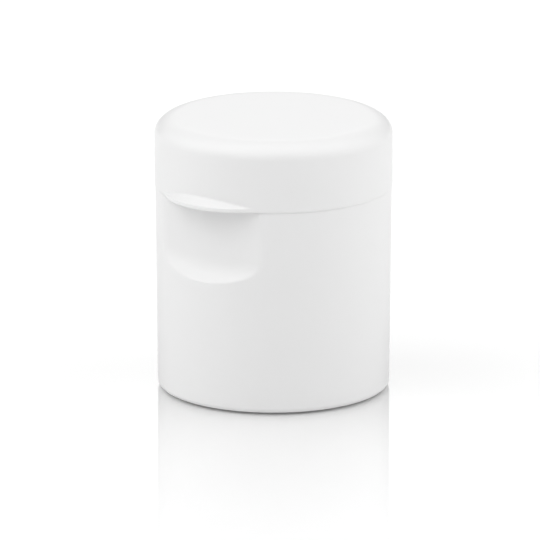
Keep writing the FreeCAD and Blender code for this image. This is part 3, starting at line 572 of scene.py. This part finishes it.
def fastener_steel(name, color):
    """Bright steel of small fasteners: fine scratches drawn out in one slanting direction."""
    tree = Tree(name)
    stretched = tree.nodes.new("ShaderNodeMapping")
    tree.put(stretched.inputs["Vector"], tree.coords)
    stretched.inputs["Rotation"].default_value = SCRATCH_TURN
    stretched.inputs["Scale"].default_value = SCRATCH_STRETCH
    scratches = tree.noise(SCRATCH_SCALE, 2.0, 0.5, stretched.outputs["Vector"])
    tree.set(Base_Color=tree.blend(tree.noise(FASTENER_TINT_SCALE, 3.0), shaded(color, 0.85), color))
    tree.set(Metallic=1.0, Roughness=tree.spread(scratches, 0.18, 0.42, MIDDLE))
    tree.set(Normal=tree.bump(scratches, SCRATCH_DEPTH))
    return tree.material


def finishes():
    """One material for each material slot of the record."""
    cup = (0.78, 0.79, 0.8)
    bearing = (0.7, 0.66, 0.56)
    return {
        "outer_plastic": plastic("outer_plastic", WHITE, 0.32, 0.0008 * MM, 5200.0, 0.002 * MM, 0.3),
        "inner_plastic": plastic("inner_plastic", (0.74, 0.74, 0.735), 0.5, 0.006 * MM, 7000.0),
        "cup_plastic": plastic("cup_plastic", cup, 0.16, 0.0005 * MM, 4000.0, waviness=0.003 * MM),
        "bearing_plastic": plastic("bearing_plastic", bearing, 0.4, 0.003 * MM, 6000.0),
        "foot_rubber": rubber("foot_rubber", (0.6, 0.6, 0.6)),
        "seal_rubber": rubber("seal_rubber", (0.42, 0.43, 0.44)),
        "steel": turned_steel("steel", (0.62, 0.61, 0.6)),
        "fastener_steel": fastener_steel("fastener_steel", (0.66, 0.65, 0.63)),
    }


def paint(made, material):
    """Gives a piece one material and no other."""
    made.data.materials.clear()
    made.data.materials.append(material)


# ---------------------------------------------------------------- stage
PHOTO_AZIMUTH = math.radians(37.7)  # the lip shows left of the middle
CAMERA_AWAY = 69.49 * LID_R
CAMERA_UP = 19.848 * LID_R
CAMERA_PITCH = math.radians(15.18)
CAMERA_LEFT = 0.0302 * LID_R
CAMERA_LENS = 569.6
CAMERA_CLIP = (0.05, 20.0)


def camera():
    """Long lens from far off, at the viewing angle that the reference shows."""
    data = bpy.data.cameras.new("camera")
    data.lens = CAMERA_LENS
    data.sensor_width = 36.0
    data.clip_start, data.clip_end = CAMERA_CLIP
    made = bpy.data.objects.new("camera", data)
    bpy.context.scene.collection.objects.link(made)
    sin, cos = math.sin(PHOTO_AZIMUTH), math.cos(PHOTO_AZIMUTH)
    made.location = (
        sin * CAMERA_AWAY - cos * CAMERA_LEFT,
        -cos * CAMERA_AWAY - sin * CAMERA_LEFT,
        CAMERA_UP,
    )
    made.rotation_euler = (math.pi / 2 - CAMERA_PITCH, 0, PHOTO_AZIMUTH)
    bpy.context.scene.camera = made


FLOOR_HALF = 6.0
FLOOR_Z = -0.01 * MM  # just clear of the foot
TABLE_WHITES = ((0.87, 0.87, 0.87), (0.89, 0.89, 0.89))
TABLE_CLOUD_SCALE = 9.0
TABLE_MIRROR_ROUGHNESS = 0.02
TABLE_GLOW = 0.116  # the table is lit from below
TABLE_MIRROR = 0.56  # share of mirror reflection right in front of the object
TABLE_MIRROR_FADE = 3.2 * LID_R  # distance over which that share falls to about a third


def floor():
    """Glossy white table, faintly lit from below. Its mirror reflection fades away from the object."""
    h = FLOOR_HALF
    corners = [(-h, -h, FLOOR_Z), (h, -h, FLOOR_Z), (h, h, FLOOR_Z), (-h, h, FLOOR_Z)]
    made = new_object("floor", corners, [(0, 1, 2, 3)])
    tree = Tree("table_acrylic")
    beyond = tree.math("MAXIMUM", tree.math("SUBTRACT", tree.around_z(), LID_R), 0.0)
    fade = tree.math("EXPONENT", tree.math("MULTIPLY", beyond, -1 / TABLE_MIRROR_FADE))
    mirror = tree.nodes.new("ShaderNodeBsdfGlossy")
    mirror.inputs["Roughness"].default_value = TABLE_MIRROR_ROUGHNESS
    mixed = tree.nodes.new("ShaderNodeMixShader")
    tree.set(Base_Color=tree.blend(tree.noise(TABLE_CLOUD_SCALE), *TABLE_WHITES))
    tree.set(Roughness=0.4, Specular_IOR_Level=0.1)
    tree.set(Emission_Color=(1.0, 1.0, 1.0, 1.0), Emission_Strength=TABLE_GLOW)
    tree.put(mixed.inputs[0], tree.math("MULTIPLY", fade, TABLE_MIRROR))
    tree.put(mixed.inputs[1], tree.shader.outputs[0])
    tree.put(mixed.inputs[2], mirror.outputs[0])
    tree.put(tree.nodes["Material Output"].inputs["Surface"], mixed.outputs[0])
    paint(made, tree.material)


# The light tent's soft panels: azimuth of the middle in degrees, from the camera's side to the right,
# its elevation, half the width, half the height, and the brightness in the middle.
PANELS = {
    "right": (85, 18, 70, 60, 2.35),
    "left": (-82, 48, 74, 60, 2.95),
    "front": (-15, 53, 115, 32, 1.9),
    "behind": (180, 21, 30, 15, 1.85),
    "high_right": (92, 60, 60, 27, 1.35),
}
CEILING = (82, 1.15)  # elevation above which the tent is evenly bright, and how bright
TENT_LEVELS = (3.5, 21, 40, 60)  # elevations at which the panels are sampled round the horizon
TENT_SAMPLES = 12
TENT_MAX = 4.0  # above the brightest sample


def panel_light(azimuth, elevation):
    """Brightness of the panels in one direction. Each fades from its middle to nothing at its edge."""
    total = 0.0
    for middle, height, half_w, half_h, brightness in PANELS.values():
        aside = abs((azimuth - middle + 180) % 360 - 180)
        across = max(0, 1 - aside / half_w)
        upright = max(0, 1 - abs(elevation - height) / half_h)
        total += brightness * across * upright
    return total


def tent_rings():
    """Elevation of each ring that the tent is blended from, and its brightness round the horizon."""
    azimuths = [360 * i / TENT_SAMPLES for i in range(TENT_SAMPLES)]
    rings = [(level, [panel_light(a, level) for a in azimuths]) for level in TENT_LEVELS]
    level, brightness = CEILING
    return [*rings, (level, [brightness] * TENT_SAMPLES)]


def world():
    """Light tent: brightness set by direction, in ramps round the horizon blended by elevation."""
    made = bpy.data.worlds.new("tent")
    bpy.context.scene.world = made
    made.use_nodes = True
    nodes, links = made.node_tree.nodes, made.node_tree.links

    def put(socket, value):
        """Links a node's output to the socket, or sets the socket to a plain value."""
        if isinstance(value, bpy.types.NodeSocket):
            links.new(value, socket)
        else:
            socket.default_value = value

    def calc(operation, a, b=0.0):
        """Output of one math node."""
        node = nodes.new("ShaderNodeMath")
        node.operation = operation
        put(node.inputs[0], a)
        put(node.inputs[1], b)
        return node.outputs[0]

    turned = nodes.new("ShaderNodeVectorRotate")
    turned.rotation_type = "Z_AXIS"
    turned.inputs["Angle"].default_value = math.pi / 2 - PHOTO_AZIMUTH  # brings the camera's side to +X
    links.new(nodes.new("ShaderNodeTexCoord").outputs["Generated"], turned.inputs["Vector"])
    split = nodes.new("ShaderNodeSeparateXYZ")
    links.new(turned.outputs[0], split.inputs[0])
    azimuth = calc("ARCTAN2", split.outputs[1], split.outputs[0])
    share = calc("FRACT", calc("ADD", calc("DIVIDE", azimuth, 2 * math.pi), 1.0))
    elevation = calc("MULTIPLY", calc("ARCSINE", split.outputs[2]), 180 / math.pi)
    brightness, below = None, None
    for level, values in tent_rings():
        node = nodes.new("ShaderNodeValToRGB")
        links.new(share, node.inputs["Fac"])
        stops = node.color_ramp.elements
        around = (*values, values[0])
        for i in range(1, len(values)):
            stops.new(i / len(values))
        for stop, value in zip(stops, around):
            stop.color = (*[value / TENT_MAX] * 3, 1.0)
        ring = node.outputs["Color"]
        if brightness is None:
            brightness = ring
        else:
            mix = nodes.new("ShaderNodeMixRGB")
            ramp = nodes.new("ShaderNodeMapRange")
            put(ramp.inputs["Value"], elevation)
            ramp.inputs["From Min"].default_value = below
            ramp.inputs["From Max"].default_value = level
            links.new(ramp.outputs[0], mix.inputs["Fac"])
            put(mix.inputs["Color1"], brightness)
            put(mix.inputs["Color2"], ring)
            brightness = mix.outputs["Color"]
        below = level
    put(nodes["Background"].inputs["Color"], brightness)
    put(nodes["Background"].inputs["Strength"], TENT_MAX)
    bpy.context.scene.view_settings.view_transform = "Standard"


camera()
floor()
world()
body = body_skin()
lid = lid_skin()
looks = finishes()
for piece in (body, lid):
    paint(piece, looks["outer_plastic"])
for node, made in frame["nodes"].items():
    paint(made, looks[SLOT_OF[node]])
